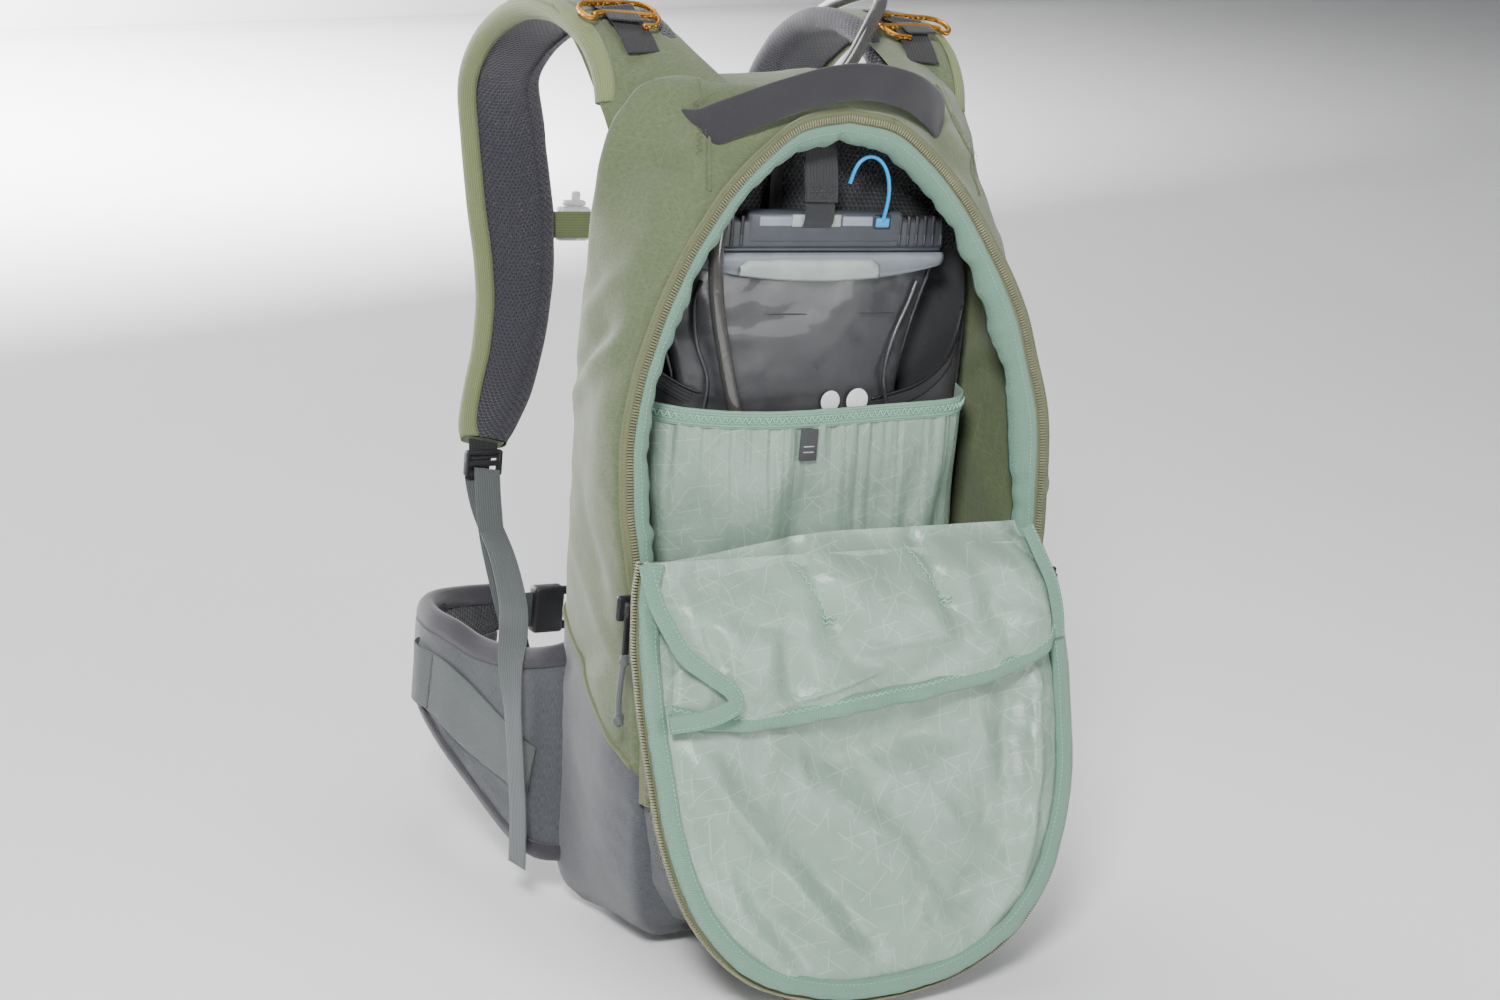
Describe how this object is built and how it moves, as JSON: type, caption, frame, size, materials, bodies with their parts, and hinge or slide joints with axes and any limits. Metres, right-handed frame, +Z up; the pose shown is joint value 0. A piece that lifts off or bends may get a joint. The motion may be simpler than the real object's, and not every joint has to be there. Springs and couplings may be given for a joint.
{
  "type": "hydration pack",
  "caption": "Trail rucksack with a drink bladder, front flap unzipped and hanging, padded shoulder straps and hip belt.",
  "frame": {"origin": "centre of the bag's flat base, on the floor it stands on", "axes": "+Z up, -Y the side with the opening and flap, +Y the wearer's side, +X right as seen facing the flap"},
  "size_m": [0.34, 0.4465, 0.5654],
  "materials": {
    "sage_ripstop": "heathered ripstop",
    "grey_heather": "heathered grey boot fabric",
    "mint_lining": "smooth coated nylon",
    "mint_binding": "grosgrain tape",
    "olive_zip": "coil zip",
    "dark_mesh": "spacer mesh",
    "black_mesh": "fine mesh",
    "slate_tape": "woven slate fabric",
    "olive_edge": "edge binding",
    "webbing": "woven webbing",
    "black_webbing": "woven webbing",
    "black_plastic": "moulded",
    "hook_metal": "anodised",
    "bar_plastic": "moulded",
    "lip_plastic": "moulded",
    "bladder_film": "smoky flexible film",
    "hose": "smoky tube",
    "tether_blue": "cord",
    "clear_clip": "translucent moulded",
    "slider_metal": "black lacquer",
    "pull_cord": "braided cord",
    "plate_foam": "moulded foam plate",
    "tag_fabric": "woven tag"
  },
  "bodies": {
    "bag": {"main_shell": "sage_ripstop", "lower_boot": "grey_heather", "zip_track": "olive_zip", "front_pocket": "grey_heather", "pocket_zips": "olive_zip", "pocket_gussets": "black_mesh", "back_panel": "black_mesh", "back_pads": "dark_mesh", "lumbar_pad": "dark_mesh", "protector_plate": "plate_foam", "mesh_sleeve": "black_mesh", "elastic_pocket": "mint_lining", "pocket_hem": "mint_binding", "pocket_tag": "tag_fabric", "bladder_film": "bladder_film", "closure_bar": "bar_plastic", "lip_panel": "lip_plastic", "hanger_strap": "black_webbing", "tether_button": "tether_blue", "tether_cord": "tether_blue", "hose_port": "black_plastic", "drink_hose": "hose"},
    "flap": {"flap_panel": "sage_ripstop", "flap_lining": "mint_lining", "flap_pocket": "mint_lining", "flap_binding": "mint_binding", "flap_zip": "olive_zip"},
    "handle": {"carry_handle": "slate_tape"},
    "zip_slider_left": {"zip_slider_left": "slider_metal"},
    "pull_left": {"pull_tab_left": "slider_metal", "pull_cord_left": "pull_cord"},
    "pocket_slider_left": {"pocket_slider_left": "slider_metal"},
    "strap_left": {"strap_pad_left": "sage_ripstop", "strap_mesh_left": "dark_mesh", "lifter_web_left": "black_webbing", "ladder_lock_left": "black_plastic", "lower_web_left": "webbing"},
    "hook_left": {"lifter_hook_left": "hook_metal"},
    "sternum_left": {"sternum_strap_left": "olive_edge", "sternum_clip_left": "clear_clip"},
    "wing_left": {"belt_wing_left": "grey_heather", "belt_band_left": "webbing", "belt_buckle_male": "black_plastic"},
    "zip_slider_right": {"zip_slider_right": "slider_metal"},
    "pull_right": {"pull_tab_right": "slider_metal", "pull_cord_right": "pull_cord"},
    "pocket_slider_right": {"pocket_slider_right": "slider_metal"},
    "strap_right": {"strap_pad_right": "sage_ripstop", "strap_mesh_right": "dark_mesh", "lifter_web_right": "black_webbing", "ladder_lock_right": "black_plastic", "lower_web_right": "webbing", "hose_clip": "black_plastic", "bite_valve": "black_plastic"},
    "hook_right": {"lifter_hook_right": "hook_metal"},
    "sternum_right": {"sternum_strap_right": "olive_edge", "sternum_clip_right": "clear_clip"},
    "wing_right": {"belt_wing_right": "grey_heather", "belt_band_right": "webbing", "belt_buckle_female": "black_plastic"}
  },
  "joints": [
    {"name": "flap_fold", "type": "hinge", "parent": "bag", "child": "flap", "pos_m": [0, -0.079, 0.248], "axis": [1, 0, 0], "range_deg": [-170, 0]},
    {"name": "handle_flop", "type": "hinge", "parent": "bag", "child": "handle", "pos_m": [0, -0.014, 0.481], "axis": [1, 0, 0], "range_deg": [-10, 20], "stiffness_Nm_per_rad": 0.06},
    {"name": "zip_slide_left", "type": "slide", "parent": "bag", "child": "zip_slider_left", "axis": [-0.11, 0.19, 0.9756], "range_m": [0, 0.025]},
    {"name": "pull_swing_left", "type": "hinge", "parent": "zip_slider_left", "child": "pull_left", "pos_m": [-0.1475, -0.071, 0.222], "axis": [1, 0, 0], "range_deg": [-120, 4]},
    {"name": "pocket_slide_left", "type": "slide", "parent": "bag", "child": "pocket_slider_left", "axis": [0.0647, -0.0185, -0.9977], "range_m": [0, 0.09]},
    {"name": "strap_swing_left", "type": "hinge", "parent": "bag", "child": "strap_left", "pos_m": [-0.098, 0.054, 0.5], "axis": [1, 0, 0], "range_deg": [0, 20], "deforming": ["lower_web_left"]},
    {"name": "hook_lift_left", "type": "hinge", "parent": "strap_left", "child": "hook_left", "pos_m": [-0.104, 0.0695, 0.5355], "axis": [1, 0, 0], "range_deg": [0, 35]},
    {"name": "sternum_slide_left", "type": "slide", "parent": "strap_left", "child": "sternum_left", "axis": [0, 0, 1], "range_m": [-0.02, 0.015]},
    {"name": "wing_fold_left", "type": "hinge", "parent": "bag", "child": "wing_left", "pos_m": [-0.136, 0.037, 0.09], "axis": [0, 0, 1], "range_deg": [-20, 0]},
    {"name": "zip_slide_right", "type": "slide", "parent": "bag", "child": "zip_slider_right", "axis": [0.11, 0.19, 0.9756], "range_m": [0, 0.025]},
    {"name": "pull_swing_right", "type": "hinge", "parent": "zip_slider_right", "child": "pull_right", "pos_m": [0.1475, -0.071, 0.222], "axis": [1, 0, 0], "range_deg": [-120, 4]},
    {"name": "pocket_slide_right", "type": "slide", "parent": "bag", "child": "pocket_slider_right", "axis": [-0.0647, -0.0185, -0.9977], "range_m": [0, 0.09]},
    {"name": "strap_swing_right", "type": "hinge", "parent": "bag", "child": "strap_right", "pos_m": [0.098, 0.054, 0.5], "axis": [1, 0, 0], "range_deg": [0, 20], "deforming": ["lower_web_right", "drink_hose"]},
    {"name": "hook_lift_right", "type": "hinge", "parent": "strap_right", "child": "hook_right", "pos_m": [0.104, 0.0695, 0.5355], "axis": [1, 0, 0], "range_deg": [0, 10]},
    {"name": "sternum_slide_right", "type": "slide", "parent": "strap_right", "child": "sternum_right", "axis": [0, 0, 1], "range_m": [-0.02, 0.015]},
    {"name": "wing_fold_right", "type": "hinge", "parent": "bag", "child": "wing_right", "pos_m": [0.136, 0.037, 0.09], "axis": [0, 0, 1], "range_deg": [0, 20]}
  ]
}
